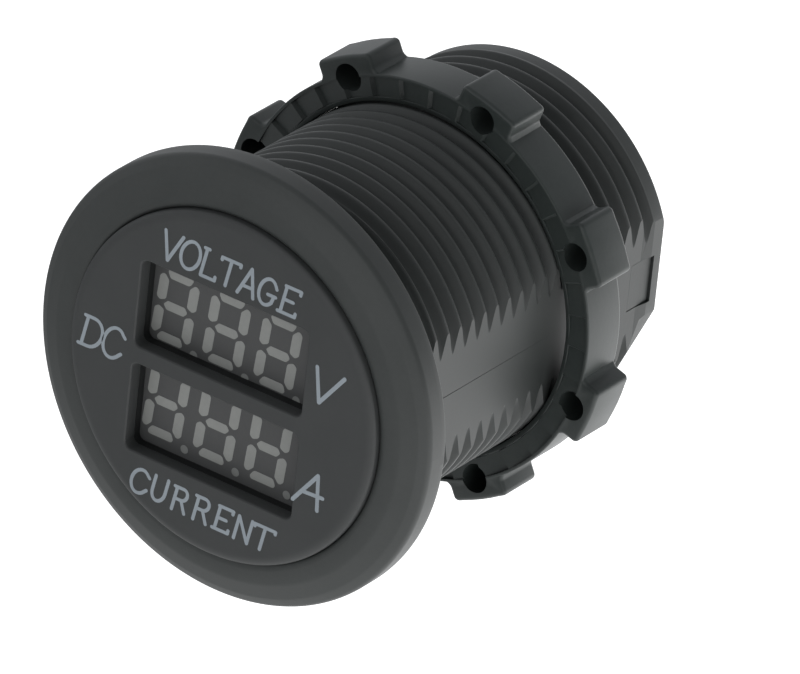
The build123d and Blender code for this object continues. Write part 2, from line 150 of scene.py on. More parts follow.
def crisp(mesh, flats):
    """Makes the border of every face square to one of the flats' directions sharp."""
    bm = bmesh.new()
    bm.from_mesh(mesh)
    level = {f: any(f.normal.dot(d) > 0.9995 for d in flats) for f in bm.faces}
    for edge in bm.edges:
        sides = {level[f] for f in edge.link_faces}
        if len(sides) == 2:
            edge.smooth = False
    bm.to_mesh(mesh)
    bm.free()


def boolean(obj, cutter, operation):
    mod = obj.modifiers.new(operation, "BOOLEAN")
    mod.operation = operation
    mod.solver = "EXACT"
    mod.object = cutter
    depsgraph = bpy.context.evaluated_depsgraph_get()
    mesh = bpy.data.meshes.new_from_object(obj.evaluated_get(depsgraph))
    obj.modifiers.clear()
    obj.data = mesh
    bpy.data.objects.remove(cutter)
    return obj


def finish_piece(obj, body, material, replaces=()):
    obj.data.materials.clear()
    obj.data.materials.append(material)
    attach(obj, body)
    if replaces:
        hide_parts(*replaces)
    return obj


def rounded(points, steps=5):
    """Closed 2-D outline from (u, v, radius) corners, each corner rounded to its radius."""
    out = []
    count = len(points)
    for i, (u, v, radius) in enumerate(points):
        here = Vector((u, v))
        before = Vector(points[i - 1][:2]) - here
        after = Vector(points[(i + 1) % count][:2]) - here
        if radius <= 0 or before.length < 1e-6 or after.length < 1e-6:
            out.append((u, v))
            continue
        half = before.angle(after) / 2
        cut = min(radius / math.tan(half), before.length * 0.49, after.length * 0.49)
        real = cut * math.tan(half)
        start = here + before.normalized() * cut
        end = here + after.normalized() * cut
        centre = here + (before.normalized() + after.normalized()).normalized() * (
            real / math.sin(half)
        )
        a = start - centre
        b = end - centre
        for s in range(steps + 1):
            t = s / steps
            total = a.angle(b) if a.length > 1e-9 and b.length > 1e-9 else 0
            if total < 1e-6:
                out.append(tuple(start.lerp(end, t)))
                continue
            w0 = math.sin((1 - t) * total) / math.sin(total)
            w1 = math.sin(t * total) / math.sin(total)
            out.append(tuple(centre + a * w0 + b * w1))
    return out


def lathe(outline, columns=COLUMNS):
    """(verts, faces) of a closed (radius, y) outline turned about Y."""
    verts, faces = [], []
    count = len(outline)
    for c in range(columns):
        a = 2 * math.pi * c / columns
        for r, y in outline:
            verts.append((r * math.cos(a), y, r * math.sin(a)))
    for c in range(columns):
        d = (c + 1) % columns
        for k in range(count):
            m = (k + 1) % count
            faces.append((c * count + k, c * count + m, d * count + m, d * count + k))
    return verts, faces


def prism_data(outline, y0, y1, place=lambda u, v, y: (u, y, v)):
    """(verts, faces) of an outline extruded from y0 to y1."""
    count = len(outline)
    verts = [place(u, v, y0) for u, v in outline] + [place(u, v, y1) for u, v in outline]
    faces = [tuple(range(count)), tuple(range(2 * count - 1, count - 1, -1))]
    for k in range(count):
        m = (k + 1) % count
        faces.append((k, k + count, m + count, m))
    return verts, faces


def gathered(items):
    """Several (verts, faces) as one."""
    verts, faces = [], []
    for v, f in items:
        base = len(verts)
        verts += v
        faces += [tuple(i + base for i in face) for face in f]
    return verts, faces


def box_data(x0, x1, y0, y1, z0, z1):
    return prism_data([(x0, z0), (x1, z0), (x1, z1), (x0, z1)], y0, y1)


def turned(data, degrees):
    """Turned about the barrel's axis, from +X towards +Z."""
    c, s = math.cos(math.radians(degrees)), math.sin(math.radians(degrees))
    verts, faces = data
    return [(x * c - z * s, y, x * s + z * c) for x, y, z in verts], faces


def smoothstep(t):
    t = min(max(t, 0.0), 1.0)
    return t * t * (3 - 2 * t)


# ---- materials ----
def node(tree, kind, **inputs):
    n = tree.nodes.new(kind)
    for key, value in inputs.items():
        n.inputs[key.replace("_", " ")].default_value = value
    return n


def plastic(
    name,
    dark,
    light,
    rough=(0.42, 0.55),
    grain=2600.0,
    bump=0.12,
    cloud=160.0,
    sheen=0.0,
    specular=0.3,
    coat=0.0,
):
    """Moulded plastic: soft cloudy colour, fine grain in height and in roughness."""
    mat = bpy.data.materials.new(name)
    mat.use_nodes = True
    tree = mat.node_tree
    shader = tree.nodes["Principled BSDF"]
    shader.inputs["Specular IOR Level"].default_value = specular
    shader.inputs["Sheen Weight"].default_value = sheen
    shader.inputs["Sheen Roughness"].default_value = 0.45
    shader.inputs["Coat Weight"].default_value = coat
    shader.inputs["Coat Roughness"].default_value = 0.3
    coords = tree.nodes.new("ShaderNodeTexCoord")
    clouds = node(tree, "ShaderNodeTexNoise", Scale=cloud, Detail=5.0, Roughness=0.6)
    fine = node(tree, "ShaderNodeTexNoise", Scale=grain, Detail=3.0, Roughness=0.55)
    for n in (clouds, fine):
        tree.links.new(coords.outputs["Object"], n.inputs["Vector"])
    ramp = tree.nodes.new("ShaderNodeValToRGB")
    ramp.color_ramp.elements[0].position = 0.3
    ramp.color_ramp.elements[1].position = 0.72
    ramp.color_ramp.elements[0].color = (*dark, 1)
    ramp.color_ramp.elements[1].color = (*light, 1)
    mix = tree.nodes.new("ShaderNodeMath")
    mix.operation = "MULTIPLY_ADD"
    mix.inputs[1].default_value = 0.35
    tree.links.new(fine.outputs["Fac"], mix.inputs[0])
    scale = tree.nodes.new("ShaderNodeMath")
    scale.operation = "MULTIPLY"
    scale.inputs[1].default_value = 0.65
    tree.links.new(clouds.outputs["Fac"], scale.inputs[0])
    tree.links.new(scale.outputs[0], mix.inputs[2])
    tree.links.new(mix.outputs[0], ramp.inputs["Fac"])
    tree.links.new(ramp.outputs["Color"], shader.inputs["Base Color"])
    rough_map = tree.nodes.new("ShaderNodeMapRange")
    rough_map.inputs["To Min"].default_value = rough[0]
    rough_map.inputs["To Max"].default_value = rough[1]
    tree.links.new(mix.outputs[0], rough_map.inputs["Value"])
    tree.links.new(rough_map.outputs["Result"], shader.inputs["Roughness"])
    if bump:
        relief = tree.nodes.new("ShaderNodeBump")
        relief.inputs["Strength"].default_value = bump
        relief.inputs["Distance"].default_value = 0.00004
        tree.links.new(fine.outputs["Fac"], relief.inputs["Height"])
        tree.links.new(relief.outputs["Normal"], shader.inputs["Normal"])
    return mat


def metal(name, dark, light, rough=(0.25, 0.42), grain=1800.0):
    mat = plastic(name, dark, light, rough=rough, grain=grain, bump=0.08, cloud=420.0)
    mat.node_tree.nodes["Principled BSDF"].inputs["Metallic"].default_value = 1.0
    return mat


HOUSING = plastic("housing_plastic", (0.026, 0.029, 0.028), (0.034, 0.037, 0.036))
PLATE = plastic("plate_plastic", (0.027, 0.029, 0.029), (0.034, 0.036, 0.036), rough=(0.5, 0.62))
HOLDER = plastic("holder_plastic", (0.006, 0.007, 0.007), (0.01, 0.011, 0.011), rough=(0.6, 0.75))
SHELL = plastic(
    "display_shell", (0.052, 0.053, 0.053), (0.06, 0.061, 0.061), rough=(0.3, 0.4), bump=0.04
)
SEGMENT = plastic(
    "segment_resin", (0.185, 0.19, 0.182), (0.22, 0.225, 0.215), rough=(0.35, 0.45), bump=0.05
)
DOT = plastic("dot_resin", (0.13, 0.135, 0.13), (0.17, 0.175, 0.17), rough=(0.35, 0.45), bump=0.05)
LEGEND = plastic("legend_ink", (0.195, 0.22, 0.24), (0.23, 0.26, 0.285), rough=(0.5, 0.6), bump=0.1)
NUT = plastic("nut_plastic", (0.02, 0.025, 0.024), (0.03, 0.035, 0.033), rough=(0.36, 0.5))
CAP = plastic("cap_plastic", (0.022, 0.025, 0.024), (0.03, 0.033, 0.032), rough=(0.4, 0.55))
CHIP = plastic("chip_plastic", (0.012, 0.012, 0.012), (0.022, 0.022, 0.022))
LAMINATE = plastic("board_laminate", (0.01, 0.1, 0.035), (0.02, 0.15, 0.055), rough=(0.3, 0.4))
RESISTOR = plastic("resistor_ceramic", (0.02, 0.02, 0.025), (0.05, 0.05, 0.06))
CERAMIC = plastic("capacitor_ceramic", (0.3, 0.2, 0.11), (0.42, 0.3, 0.18))
CAN = plastic("capacitor_can", (0.02, 0.03, 0.08), (0.04, 0.05, 0.13), rough=(0.2, 0.3))
TINNED = metal("tinned_metal", (0.5, 0.5, 0.49), (0.66, 0.66, 0.64))
STEEL = metal("screw_steel", (0.4, 0.4, 0.4), (0.55, 0.55, 0.54))
ALLOY = metal("shunt_alloy", (0.45, 0.3, 0.2), (0.6, 0.44, 0.3))
BRASS = metal("terminal_brass", (0.55, 0.53, 0.48), (0.7, 0.68, 0.62))


# ---- housing ----
THREAD_PROFILE = (
    (-0.045, 1.0),
    (0.0, 1.0),
    (0.045, 1.0),
    (0.09, 0.96),
    (0.14, 0.84),
    (0.22, 0.6),
    (0.31, 0.33),
    (0.38, 0.14),
    (0.44, 0.03),
    (0.5, 0.0),
    (0.56, 0.03),
    (0.62, 0.14),
    (0.69, 0.33),
    (0.78, 0.6),
    (0.86, 0.84),
    (0.91, 0.96),
)


def thread_point(a, y, height):
    rise = smoothstep((y - THREAD_Y0) / 0.55)
    fade = smoothstep((THREAD_Y1 - y) / 0.45)
    r = ROOT_R + (CREST_R - ROOT_R) * height
    r = NECK_R + (r - NECK_R) * rise
    r = BAND_R + (r - BAND_R) * fade
    return r * math.cos(a), y, r * math.sin(a)


def housing_rows():
    """Rows of the housing's skin, each a function from angle to a point."""
    front = [(BORE_R, HOLDER_SEAT_Y), (HOLDER_BORE_R, HOLDER_SEAT_Y)]
    front += [(HOLDER_BORE_R, RECESS_Y), (RECESS_R, RECESS_Y)]
    for s in range(8):
        a = math.pi / 2 * s / 7
        front.append((RECESS_R + LIP_W * (1 - math.cos(a)), LIP_Y - LIP_H * math.sin(a)))
    front += rounded(
        [(15.2, -3.2, 0), (16.4, -3.0, 2.0), (17.75, -2.5, 1.2), (FLANGE_R, -2.0, 0.6), (FLANGE_R, -0.6, 0)],
        steps=7,
    )
    front += rounded([(FLANGE_R, -0.6, 0), (FLANGE_R, 0.0, 0.18), (NECK_R + 1, 0.0, 0)], steps=4)[1:]
    front += rounded([(NECK_R + 1, 0.0, 0), (NECK_R, 0.0, 0.25), (NECK_R, THREAD_Y0, 0)], steps=4)[1:]
    # the outline is open at its ends, which the thread joins
    rear = rounded(
        [
            (BAND_R, THREAD_Y1, 0),
            (BAND_R, BARREL_END_Y, 0.32),
            (BORE_R, BARREL_END_Y, 0.2),
            (BORE_R, HOLDER_SEAT_Y, 0),
        ],
        steps=5,
    )

    def ring(r, y):
        return lambda a: (r * math.cos(a), y, r * math.sin(a))

    rows = [ring(r, y) for r, y in front]
    turns = int((THREAD_Y1 - FIRST_CREST_Y) / PITCH) + 4
    for turn in range(-1, turns):
        for phase, height in THREAD_PROFILE:

            def row(a, turn=turn, phase=phase, height=height):
                y = FIRST_CREST_Y + PITCH * (turn + phase - a / (2 * math.pi))
                return thread_point(a, min(max(y, THREAD_Y0), THREAD_Y1), height)

            rows.append(row)
    rows += [ring(r, y) for r, y in rear]
    return rows


def along_z(u, v, w):
    """Places an outline in X and Y, so that it is extruded along Z."""
    return u, v, w


def build_housing():
    rows = housing_rows()
    count = len(rows)
    verts, faces = [], []
    for c in range(COLUMNS + 1):
        a = 2 * math.pi * c / COLUMNS
        verts += [row(a) for row in rows]
    for c in range(COLUMNS):
        for k in range(count - 1):
            i, j = c * count + k, (c + 1) * count + k
            faces.append((i, i + 1, j + 1, j))
    obj = new_object("housing_skin", verts, faces)
    flats, bevels = [], []
    ramp = [(FLAT_X, 0.03), (FLAT_X, RAMP_Y[0]), (REAR_FLAT_X, RAMP_Y[1]), (REAR_FLAT_X, PAST_END_Y)]
    ramp += [(21, PAST_END_Y), (21, 0.03)]
    bevel = [(BEVEL_AT, PAST_END_Y), (BEVEL_AT, 33.6), (17.5, 29.0), (20, PAST_END_Y)]
    for side in (-1, 1):
        flats.append(prism_data([(side * u, v) for u, v in ramp], -9.5, 9.5, along_z))
        turn = -BEVEL_TURN if side > 0 else 180 + BEVEL_TURN
        bevels.append(turned(prism_data(bevel, -9, 9, along_z), turn))
    for cuts in (flats, bevels):
        obj = boolean(obj, new_object("cut", *gathered(cuts)), "DIFFERENCE")
    cuts = []
    for side in (-1, 1):
        x0, x1 = sorted((side * 11.5, side * 14.2))
        cuts.append(box_data(x0, x1, *LATCH_Y, *LATCH_Z))
        # mould parting line: a fine groove that grows shallower towards the rear
        depth = side * (FLAT_X - 0.09)
        skin = side * (FLAT_X + 0.02)
        out = side * (FLAT_X + 0.3)
        seam = []
        for y, bottom in zip(SEAM_Y, (depth, skin)):
            seam += [(bottom, y, SEAM_Z), (out, y, SEAM_Z + SEAM_HALF_W), (out, y, SEAM_Z - SEAM_HALF_W)]
        cuts.append((seam, [(0, 1, 2), (3, 5, 4), (0, 3, 4, 1), (1, 4, 5, 2), (2, 5, 3, 0)]))
    obj = boolean(obj, new_object("cut", *gathered(cuts)), "DIFFERENCE")
    directions = [Vector((side, 0, 0)) for side in (-1, 1)]
    for side in (-1, 1):
        t = math.radians(BEVEL_TURN)
        directions.append(Vector((side * math.cos(t), 0, -math.sin(t))))
    settle(obj, flats=directions)
    return finish_piece(obj, "meter", HOUSING, ["housing"])


# ---- face plate ----
def rounded_rect(x0, x1, z0, z1, radius, steps=6):
    return rounded([(x0, z0, radius), (x1, z0, radius), (x1, z1, radius), (x0, z1, radius)], steps)


def window_cutter(z_range):
    x0, x1 = WINDOW_X - WINDOW_W / 2, WINDOW_X + WINDOW_W / 2
    z0, z1 = z_range
    stations = ((-4.2, 0.47), (PLATE_FRONT_Y, 0.12), (-3.79, 0.045), (-3.72, 0.0), (-2.0, 0.0))
    rings = []
    for y, grow in stations:
        outline = rounded_rect(x0 - grow, x1 + grow, z0 - grow, z1 + grow, 0.6 + grow)
        rings.append([(u, y, v) for u, v in outline])
    count = len(rings[0])
    verts = [p for ring in rings for p in ring]
    faces = [tuple(range(count)), tuple(range(len(verts) - 1, len(verts) - count - 1, -1))]
    for s in range(len(rings) - 1):
        for k in range(count):
            m = (k + 1) % count
            faces.append((s * count + k, (s + 1) * count + k, (s + 1) * count + m, s * count + m))
    return verts, faces


def build_plate():
    edge = []
    for s in range(9):
        a = math.pi / 2 * s / 8
        r = PLATE_R - PLATE_EDGE_W * (1 - math.sin(a))
        edge.append((r, PLATE_FRONT_Y + PLATE_EDGE_DROP * (1 - math.cos(a))))
    edge.append((PLATE_R, RECESS_Y))
    verts, faces = [], []
    for c in range(COLUMNS):
        a = 2 * math.pi * c / COLUMNS
        verts += [(r * math.cos(a), y, r * math.sin(a)) for r, y in edge]
    count = len(edge)
    for c in range(COLUMNS):
        d = (c + 1) % COLUMNS
        for k in range(count - 1):
            faces.append((c * count + k, c * count + k + 1, d * count + k + 1, d * count + k))
    faces.append(tuple(c * count for c in range(COLUMNS)))
    faces.append(tuple(c * count + count - 1 for c in reversed(range(COLUMNS))))
    obj = new_object("face_plate_skin", verts, faces)
    cutter = gathered([window_cutter(UPPER_WINDOW_Z), window_cutter(LOWER_WINDOW_Z)])
    obj = boolean(obj, new_object("cut", *cutter), "DIFFERENCE")
    settle(obj)
    return finish_piece(obj, "meter", PLATE, ["face_plate"])


# ---- legends: stroke letters with small feet, leaning a little ----
def arc(cx, cz, rx, rz, start, end, steps=14):
    out = []
    for s in range(steps + 1):
        a = math.radians(start + (end - start) * s / steps)
        out.append((cx + rx * math.cos(a), cz + rz * math.sin(a)))
    return out


GLYPHS = {
    "V": [[(0.0, 1.0), (0.5, 0.0), (1.0, 1.0)]],
    "O": [arc(0.5, 0.5, 0.5, 0.5, 90, 450, 28)],
    "L": [[(0.14, 1.0), (0.14, 0.0), (1.0, 0.0), (1.0, 0.13)], [(0.0, 1.0), (0.28, 1.0)]],
    "T": [[(0.0, 0.9), (0.0, 1.0), (1.0, 1.0), (1.0, 0.9)], [(0.5, 1.0), (0.5, 0.0)]],
    "A": [[(0.0, 0.0), (0.5, 1.0), (1.0, 0.0)], [(0.2, 0.32), (0.8, 0.32)]],
    "G": [
        [(0.95, 0.72)] + arc(0.5, 0.5, 0.47, 0.5, 42, 318, 22) + [(0.9, 0.42)],
        [(0.55, 0.42), (1.0, 0.42)],
    ],
    "E": [
        [(1.0, 0.87), (1.0, 1.0), (0.1, 1.0)],
        [(0.16, 1.0), (0.16, 0.0)],
        [(0.0, 0.0), (1.0, 0.0), (1.0, 0.13)],
        [(0.16, 0.5), (0.72, 0.5)],
    ],
    "D": [
        [(0.0, 0.0), (0.45, 0.0)] + arc(0.45, 0.5, 0.55, 0.5, -90, 90, 14) + [(0.0, 1.0)],
        [(0.15, 1.0), (0.15, 0.0)],
    ],
    "C": [[(0.97, 0.78)] + arc(0.5, 0.5, 0.5, 0.5, 45, 315, 22) + [(0.97, 0.24)]],
    "U": [
        [(0.05, 1.0), (0.05, 0.4)] + arc(0.5, 0.4, 0.45, 0.4, 180, 360, 14) + [(0.95, 1.0)],
    ],
    "R": [
        [(0.0, 1.0), (0.6, 1.0)] + arc(0.6, 0.75, 0.32, 0.25, 90, -90, 12) + [(0.16, 0.5)],
        [(0.16, 1.0), (0.16, 0.0)],
        [(0.6, 0.5), (1.0, 0.0)],
    ],
    "N": [[(0.08, 0.0), (0.08, 1.0), (0.92, 0.0), (0.92, 1.0)]],
}

# (glyph, left end at the baseline, baseline, width, height) in millimetres. These rows and UNIT_MARKS
# were measured letter by letter on the reference picture with a program, and are not laid out by a rule:
# report.md, Rules not met. Leaving out the call to build_legends() leaves out all lettering.
LEGENDS = (
    ("V", -6.9, 8.95, 1.7, 2.5),
    ("O", -5.05, 8.95, 1.75, 2.5),
    ("L", -3.1, 8.95, 1.55, 2.45),
    ("T", -1.4, 8.95, 1.78, 2.3),
    ("A", 0.65, 8.86, 1.5, 2.45),
    ("G", 2.4, 8.8, 1.65, 2.35),
    ("E", 4.5, 8.82, 1.62, 2.35),
    ("C", -7.6, -11.9, 1.62, 2.15),
    ("U", -5.6, -11.85, 1.35, 2.15),
    ("R", -3.66, -11.95, 1.42, 2.1),
    ("R", -1.6, -12.0, 1.45, 2.15),
    ("E", 0.48, -11.95, 1.5, 2.1),
    ("N", 2.45, -12.05, 1.5, 2.1),
    ("T", 4.1, -12.05, 1.95, 2.05),
    ("D", -13.62, -1.3, 1.95, 2.6),
    ("C", -11.5, -1.42, 1.9, 2.75),
)
LEGEND_LEAN = 0.19
LEGEND_STROKE = 0.3
UNIT_STROKE = 0.34
UNIT_MARKS = (
    [(8.69, 5.55), (9.15, 2.6), (11.3, 5.5)],
    [(7.66, -6.5), (9.8, -3.6), (9.99, -6.6)],
    [(8.55, -5.46), (10.4, -5.36)],
)


def stroke_data(points, width, y0, y1):
    """A drawn line: a flat strip with mitred bends and round ends."""
    pts = [Vector(p) for p in points]
    closed = (pts[0] - pts[-1]).length < 1e-6
    if closed:
        pts = pts[:-1]
    count = len(pts)
    half = width / 2
    left, right = [], []
    for i, p in enumerate(pts):
        before = pts[i - 1] if i or closed else None
        after = pts[(i + 1) % count] if i < count - 1 or closed else None
        d0 = (p - before).normalized() if before is not None else None
        d1 = (after - p).normalized() if after is not None else None
        d0 = d0 or d1
        d1 = d1 or d0
        n0 = Vector((-d0.y, d0.x))
        n1 = Vector((-d1.y, d1.x))
        n = (n0 + n1).normalized()
        reach = min(half / max(n.dot(n0), 0.3), half * 1.9)
        left.append(p + n * reach)
        right.append(p - n * reach)
    if closed:
        verts = [(v.x, y, v.y) for y in (y0, y1) for v in left + right]
        faces = []
        n2 = 2 * count
        for i in range(count):
            j = (i + 1) % count
            faces.append((i, j, count + j, count + i))
            faces.append((n2 + i, n2 + count + i, n2 + count + j, n2 + j))
            faces.append((i, n2 + i, n2 + j, j))
            faces.append((count + i, count + j, n2 + count + j, n2 + count + i))
        return verts, faces

    def cap(p, direction):
        side = Vector((-direction.y, direction.x))
        out = []
        for s in range(1, 6):
            a = math.pi * s / 6
            out.append(p + side * math.cos(a) * half + direction * math.sin(a) * half)
        return out

    tail = (pts[-1] - pts[-2]).normalized()
    head = (pts[0] - pts[1]).normalized()
    outline = left + cap(pts[-1], tail) + right[::-1] + cap(pts[0], head)
    return prism_data([(v.x, v.y) for v in outline], y0, y1)


def straight_runs(points):
    """The line split wherever it bends sharply, so each sharp bend gets round ends."""
    pts = [Vector(points[0])]
    pts += [Vector(b) for a, b in zip(points, points[1:]) if math.dist(a, b) > 1e-4]
    runs, run = [], [pts[0]]
    for i in range(1, len(pts)):
        run.append(pts[i])
        if i < len(pts) - 1 and (pts[i] - pts[i - 1]).angle(pts[i + 1] - pts[i]) > 0.7:
            runs.append(run)
            run = [pts[i]]
    runs.append(run)
    return runs


def build_legends():
    items = []
    drawn = []
    for glyph, x, z, w, h in LEGENDS:
        strokes = [
            [(x + u * w + LEGEND_LEAN * v * h, z + v * h) for u, v in stroke]
            for stroke in GLYPHS[glyph]
        ]
        drawn.append((strokes, LEGEND_STROKE))
    drawn.append((UNIT_MARKS, UNIT_STROKE))
    for strokes, width in drawn:
        step = 0
        for stroke in strokes:
            for run in straight_runs(stroke):
                y = PLATE_FRONT_Y - 0.016 - 0.001 * step
                items.append(stroke_data(run, width, y, PLATE_FRONT_Y + 0.01))
                step += 1
    obj = new_object("face_legends", *gathered(items), merge=0.00001)
    settle(obj)
    return finish_piece(obj, "meter", LEGEND)


# ---- seven-segment readouts ----
def digit_shapes():
    """Outlines of one digit's seven segments, upright, about its middle, with corner radii."""
    w, h, v, s = 1.45, 2.78, 0.45, 0.4
    top = [(-w + 0.05, h + s, 0.25), (w - 0.1, h + s, 0.25), (w - 0.5, h - s, 0.35), (-w + 0.55, h - s, 0.35)]
    middle = [(-w + 0.32, 0, 0.12), (-w + 0.66, s, 0.22), (w - 0.6, s, 0.3), (w - 0.3, 0, 0.2)]
    middle += [(w - 0.6, -s, 0.3), (-w + 0.66, -s, 0.22)]
    right = [(w - v, 0.5, 0.3), (w - v, h - 0.62, 0.35), (w + v * 0.15, h - 0.08, 0.3)]
    right += [(w + v, h - 0.4, 0.35), (w + v, 0.5, 0.35), (w + v * 0.2, 0.24, 0.25)]

    def mirrored(shape, mx, mz):
        out = [(u * mx, t * mz, r) for u, t, r in shape]
        return out[::-1] if mx * mz < 0 else out

    return [
        top,
        mirrored(top, 1, -1),
        middle,
        right,
        mirrored(right, -1, 1),
        mirrored(right, 1, -1),
        mirrored(right, -1, -1),
    ]


def build_segments(name, z, body_node):
    lean = math.tan(math.radians(5.0))
    front = MODULE_FRONT_Y - 0.012
    items, dots = [], []
    for digit in range(3):
        x = DIGIT_X0 + digit * DIGIT_PITCH
        for shape in digit_shapes():
            outline = rounded(shape, 4)
            outline = [(x + u + v * lean, z + v) for u, v in outline]
            items.append(prism_data(outline, front, MODULE_FRONT_Y + 0.3))
        circle = arc(x + 2.1, z - 3.25, 0.36, 0.36, 0, 360, 20)[:-1]
        dots.append(prism_data(circle, front, MODULE_FRONT_Y + 0.3))
    obj = new_object(name, *gathered(items))
    settle(obj)
    finish_piece(obj, "meter", SEGMENT, [body_node])
    obj = new_object(name.replace("bars", "points"), *gathered(dots))
    settle(obj)
    finish_piece(obj, "meter", DOT)


def build_display(name, z, body_node):
    outline = rounded_rect(MODULE_X - 7.95, MODULE_X + 7.95, z - 3.9, z + 3.9, 0.25)
    obj = new_object(name, *prism_data(outline, MODULE_FRONT_Y, 4.1))
    settle(obj)
    return finish_piece(obj, "meter", SHELL, [body_node])


# ---- ring nut ----
def lug_outline():
    """One lug seen along the barrel, on the +X side: (radial, across) points."""
    w = LUG_HALF_W
    root = math.sqrt(NUT_R**2 - w**2)
    outline = [(LUG_ROOT_R, -w + 0.3, 0), (root - 0.15, -w - 0.35, 0), (root + 0.35, -w, 0.5)]
    outline.append((LUG_R - 0.12, -w, 0.55))
    outline += [(math.sqrt(LUG_R**2 - t * t), t, 0) for t in (-1.8, -0.9, 0.0, 0.9, 1.8)]
    outline.append((LUG_R - 0.12, w, 0.55))
    outline += [(root + 0.35, w, 0.5), (root - 0.15, w + 0.35, 0), (LUG_ROOT_R, w - 0.3, 0)]
    return rounded(outline, 5)


def shrunk(outline, amount):
    """The outline pulled in a little, for the lug's rounded front and rear edges."""
    count = len(outline)
    out = []
    for i, (u, v) in enumerate(outline):
        p0, p1 = Vector(outline[i - 1]), Vector(outline[(i + 1) % count])
        d = (p1 - p0).normalized()
        n = Vector((-d.y, d.x))
        out.append((u + n.x * amount, v + n.y * amount))
    return out


def lug_solid():
    """One lug, its front and rear edges rounded."""
    outline = lug_outline()
    y0, y1 = NUT_Y0 + 0.02, NUT_Y1 - 0.15
    front = []
    for s in (4, 3, 2, 1, 0):
        a = math.pi / 2 * s / 4
        front.append((y0 + LUG_EDGE * (1 - math.sin(a)), LUG_EDGE * (1 - math.cos(a))))
    rear = [(y1 - (y - y0), g) for y, g in reversed(front)]
    rings = []
    for y, g in front + rear:
        rings.append([(u, y, v) for u, v in shrunk(outline, g)])
    count = len(outline)
    verts = [p for ring in rings for p in ring]
    faces = [tuple(range(count)), tuple(range(len(verts) - 1, len(verts) - count - 1, -1))]
    for s in range(len(rings) - 1):
        for k in range(count):
            m = (k + 1) % count
            faces.append((s * count + k, (s + 1) * count + k, (s + 1) * count + m, s * count + m))
    return verts, faces


def tooth_cutter():
    """Ring whose rear face is a saw: one ramp a tooth, each ending in a small step."""
    verts, faces = [], []
    columns = []
    for i in range(TOOTH_COUNT):
        at = 360 / TOOTH_COUNT * i
        columns += [(at + 0.01, TOOTH_DEPTH), (at - 3.0, TOOTH_DEPTH * 0.7)]
        columns += [(at - 6.0, TOOTH_DEPTH * 0.4), (at - 9.2, 0.04)]
    for angle, depth in columns:
        c, s = math.cos(math.radians(angle)), math.sin(math.radians(angle))
        low, high = NUT_Y0 - 1, NUT_Y0 + depth
        for r, y in ((TOOTH_INNER_R, low), (TOOTH_R, low), (TOOTH_R, high), (TOOTH_INNER_R, high)):
            verts.append((r * c, y, r * s))
    order = sorted(range(len(columns)), key=lambda i: -(columns[i][0] % 360))
    for n, i in enumerate(order):
        j = order[(n + 1) % len(order)]
        for k in range(4):
            m = (k + 1) % 4
            faces.append((i * 4 + k, i * 4 + m, j * 4 + m, j * 4 + k))
    return verts, faces


def build_nut():
    profile = rounded(
        [
            (NUT_BORE_R, NUT_Y0, 0.1),
            (NUT_R, NUT_Y0, 0.14),
            (NUT_R, NUT_Y1, 0.35),
            (NUT_BORE_R, NUT_Y1, 0.2),
        ],
        5,
    )
    obj = new_object("ring_nut_skin", *lathe(profile))
    step = 360 / LUG_COUNT
    lugs = gathered([turned(lug_solid(), LUG_PHASE + step * i) for i in range(LUG_COUNT)])
    obj = boolean(obj, new_object("lugs", *lugs), "UNION")
    obj = boolean(obj, new_object("cut", *tooth_cutter()), "DIFFERENCE")
    cuts = []
    for i in range(LUG_COUNT):
        circle = arc(LUG_HOLE_AT, 0, LUG_HOLE_R, LUG_HOLE_R, 0, 360, 40)[:-1]
        hole = prism_data(circle, NUT_Y0 - 1, NUT_Y1 - 0.7)
        cuts.append(turned(hole, LUG_PHASE + step * i + LUG_HOLE_TURN))
    obj = boolean(obj, new_object("cut", *gathered(cuts)), "DIFFERENCE")
    settle(obj)
    return finish_piece(obj, "nut", NUT, ["ring_nut"])


def build_nut_thread():
    (r0, r1), (y0, y1), lead = NUT_THREAD_R, NUT_THREAD_Y, NUT_THREAD_LEAD
    corners = [(r0, y0 + lead, 0.12), (r1, y0, 0.05), (r1, y1, 0.05), (r0, y1 - lead, 0.12)]
    profile = rounded(corners, 4)
    obj = new_object("nut_thread_skin", *lathe(profile))
    settle(obj)
    return finish_piece(obj, "nut_carrier", NUT, ["nut_thread"])


build_housing()
build_plate()
build_legends()
build_segments("voltage_bars", UPPER_Z, "voltage_segments")
build_segments("current_bars", LOWER_Z, "current_segments")
build_display("voltage_shell", UPPER_MODULE_Z, "voltage_display")
build_display("current_shell", LOWER_MODULE_Z, "current_display")
build_nut()
build_nut_thread()

# ---- materials of the CAD nodes that stay ----
KEPT = {
    "display_holder": HOLDER,
    "display_pins": TINNED,
    "display_board": LAMINATE,
    "board_screws": STEEL,
    "board_link_header": CHIP,
    "board_link_pins": TINNED,
    "controller_chip": CHIP,
    "controller_leads": TINNED,
    "chip_resistors": RESISTOR,
    "chip_capacitors": CERAMIC,
    "power_board": LAMINATE,
    "shunt_bar": ALLOY,
    "input_capacitor": CAN,
    "capacitor_leads": TINNED,
    "voltage_regulator": CHIP,
    "regulator_leads": TINNED,
    "protection_diode": CHIP,
    "diode_leads": TINNED,
    "rear_cap": CAP,
    "supply_terminal": BRASS,
    "load_terminal": BRASS,
    "ground_terminal": BRASS,
}
for name, material in KEPT.items():
    mesh = NODES[name].data
    mesh.materials.clear()
    mesh.materials.append(material)

